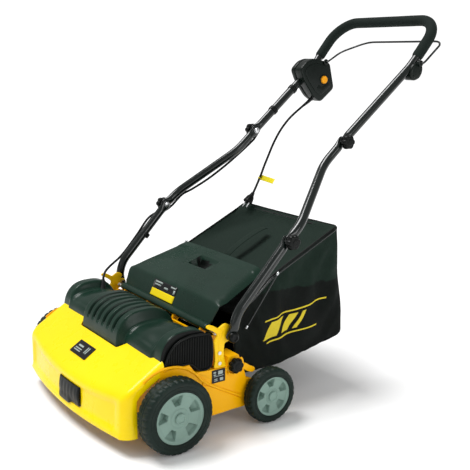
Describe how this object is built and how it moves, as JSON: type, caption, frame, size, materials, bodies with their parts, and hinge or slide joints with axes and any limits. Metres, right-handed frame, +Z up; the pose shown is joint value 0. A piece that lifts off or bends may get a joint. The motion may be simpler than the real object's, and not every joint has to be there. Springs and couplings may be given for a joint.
{
  "type": "lawn dethatcher",
  "caption": "Electric lawn dethatcher on wheels with a raking rotor, lifting rear flap, pull-out grass bag and folding handle with switch bail.",
  "frame": {"origin": "on the ground, under the middle of the machine's overall length and width", "axes": "+X towards the operator's left, +Y towards the operator, +Z up"},
  "size_m": [0.684, 1.1083, 1.003],
  "materials": {
    "hood_yellow": "gloss",
    "chassis_yellow": "gloss",
    "dark_green_plastic": "satin",
    "black_plastic": "matte",
    "zinc_steel": "satin",
    "rotor_steel": "satin",
    "cast_grey": "matte",
    "tyre_rubber": "matte",
    "hub_grey": "satin",
    "bag_fabric": "matte",
    "tube_paint": "gloss",
    "foam": "matte",
    "orange_plastic": "satin",
    "cable_rubber": "matte",
    "tag_yellow": "gloss",
    "label_black": "gloss",
    "belt_rubber": "matte"
  },
  "bodies": {
    "machine": {"chassis": "chassis_yellow", "front_hood": "hood_yellow", "hood_latch": "black_plastic", "motor_cover": "dark_green_plastic", "end_vents": "black_plastic", "foot_brackets": "chassis_yellow", "flap_rod": "zinc_steel", "rotor_bearings": "zinc_steel", "axles": "zinc_steel", "motor_housing": "cast_grey", "belt_guard": "black_plastic", "drive_belt": "belt_rubber", "labels": "label_black", "casing_screws": "zinc_steel", "cable_gland": "cable_rubber"},
    "rotor": {"rotor_shaft": "rotor_steel", "rotor_tines": "rotor_steel", "rotor_pulley": "cast_grey"},
    "motor_rotor": {"motor_shaft": "zinc_steel", "motor_pulley": "cast_grey", "motor_fan": "black_plastic"},
    "flap": {"rear_flap": "dark_green_plastic", "flap_label": "tag_yellow"},
    "bag": {"grass_bag": "bag_fabric", "bag_frame": "tube_paint", "bag_strap": "bag_fabric"},
    "lower_handle": {"lower_tubes": "tube_paint", "foot_caps": "black_plastic", "cable_lower": "cable_rubber"},
    "middle_handle": {"middle_tubes": "tube_paint", "cable_middle": "cable_rubber"},
    "grip_loop": {"grip_tube": "tube_paint", "foam_grip": "foam", "switch_box_outer": "dark_green_plastic", "switch_box_inner": "dark_green_plastic", "bail_bracket": "dark_green_plastic", "cable_clips": "black_plastic", "cable_upper": "cable_rubber", "mains_lead": "cable_rubber", "mains_plug": "cable_rubber", "lead_tag": "tag_yellow"},
    "left_knee": {"left_knee_knob": "black_plastic"},
    "right_knee": {"right_knee_knob": "black_plastic"},
    "left_elbow": {"left_elbow_knob": "black_plastic"},
    "right_elbow": {"right_elbow_knob": "black_plastic"},
    "depth": {"depth_knob": "black_plastic"},
    "bail_lever": {"bail": "tube_paint"},
    "lock": {"lock_button": "orange_plastic"},
    "front_left_wheel": {"front_left_tyre": "tyre_rubber", "front_left_hub": "hub_grey", "front_left_cap": "hub_grey"},
    "front_right_wheel": {"front_right_tyre": "tyre_rubber", "front_right_hub": "hub_grey", "front_right_cap": "hub_grey"},
    "rear_left_wheel": {"rear_left_tyre": "tyre_rubber", "rear_left_hub": "hub_grey", "rear_left_cap": "hub_grey"},
    "rear_right_wheel": {"rear_right_tyre": "tyre_rubber", "rear_right_hub": "hub_grey", "rear_right_cap": "hub_grey"}
  },
  "joints": [
    {"name": "front_left_wheel_spin", "type": "hinge", "parent": "machine", "child": "front_left_wheel", "pos_m": [0.31, -0.402, 0.09], "axis": [1, 0, 0], "continuous": true},
    {"name": "front_right_wheel_spin", "type": "hinge", "parent": "machine", "child": "front_right_wheel", "pos_m": [-0.31, -0.402, 0.09], "axis": [1, 0, 0], "continuous": true},
    {"name": "rear_left_wheel_spin", "type": "hinge", "parent": "machine", "child": "rear_left_wheel", "pos_m": [0.31, -0.127, 0.07], "axis": [1, 0, 0], "continuous": true},
    {"name": "rear_right_wheel_spin", "type": "hinge", "parent": "machine", "child": "rear_right_wheel", "pos_m": [-0.31, -0.127, 0.07], "axis": [1, 0, 0], "continuous": true},
    {"name": "rotor_spin", "type": "hinge", "parent": "machine", "child": "rotor", "pos_m": [0, -0.297, 0.075], "axis": [1, 0, 0], "continuous": true},
    {"name": "motor_spin", "type": "hinge", "parent": "machine", "child": "motor_rotor", "pos_m": [0, -0.307, 0.215], "axis": [1, 0, 0], "continuous": true},
    {"name": "flap_lift", "type": "hinge", "parent": "machine", "child": "flap", "pos_m": [0, -0.25, 0.24], "axis": [1, 0, 0], "range_deg": [0, 60]},
    {"name": "bag_pull", "type": "slide", "parent": "machine", "child": "bag", "axis": [0, 1, 0], "range_m": [0, 0.25]},
    {"name": "handle_tilt", "type": "hinge", "parent": "machine", "child": "lower_handle", "pos_m": [0, -0.23, 0.238], "axis": [1, 0, 0], "range_deg": [0, 25], "deforming": ["cable_lower"]},
    {"name": "knee_fold", "type": "hinge", "parent": "lower_handle", "child": "middle_handle", "pos_m": [0, -0.067, 0.451], "axis": [1, 0, 0], "range_deg": [0, 120], "deforming": ["cable_middle"]},
    {"name": "elbow_fold", "type": "hinge", "parent": "middle_handle", "child": "grip_loop", "pos_m": [0, 0.193, 0.668], "axis": [1, 0, 0], "range_deg": [-100, 0], "deforming": ["cable_upper"]},
    {"name": "left_knee_knob_turn", "type": "hinge", "parent": "middle_handle", "child": "left_knee", "pos_m": [0.315, -0.067, 0.451], "axis": [1, 0, 0], "range_deg": [0, 300]},
    {"name": "left_elbow_knob_turn", "type": "hinge", "parent": "grip_loop", "child": "left_elbow", "pos_m": [0.216, 0.193, 0.668], "axis": [1, 0, 0], "range_deg": [0, 300]},
    {"name": "right_knee_knob_turn", "type": "hinge", "parent": "middle_handle", "child": "right_knee", "pos_m": [-0.315, -0.067, 0.451], "axis": [1, 0, 0], "range_deg": [0, 300]},
    {"name": "right_elbow_knob_turn", "type": "hinge", "parent": "grip_loop", "child": "right_elbow", "pos_m": [-0.216, 0.193, 0.668], "axis": [1, 0, 0], "range_deg": [0, 300]},
    {"name": "depth_knob_turn", "type": "hinge", "parent": "machine", "child": "depth", "pos_m": [0.29, -0.22, 0.163], "axis": [1, 0, 0], "range_deg": [0, 270]},
    {"name": "bail_squeeze", "type": "hinge", "parent": "grip_loop", "child": "bail_lever", "pos_m": [0, 0.443, 0.869], "axis": [1, 0, 0], "range_deg": [0, 12], "stiffness_Nm_per_rad": 0.8, "springref_deg": -14.32},
    {"name": "lock_button_press", "type": "slide", "parent": "grip_loop", "child": "lock", "axis": [-1, 0, 0], "range_m": [0, 0.004], "stiffness_N_per_m": 200, "springref_m": -0.002}
  ],
  "couplings": [
    {"joint": "motor_spin", "follows": "rotor_spin", "ratio": 2.4286}
  ]
}
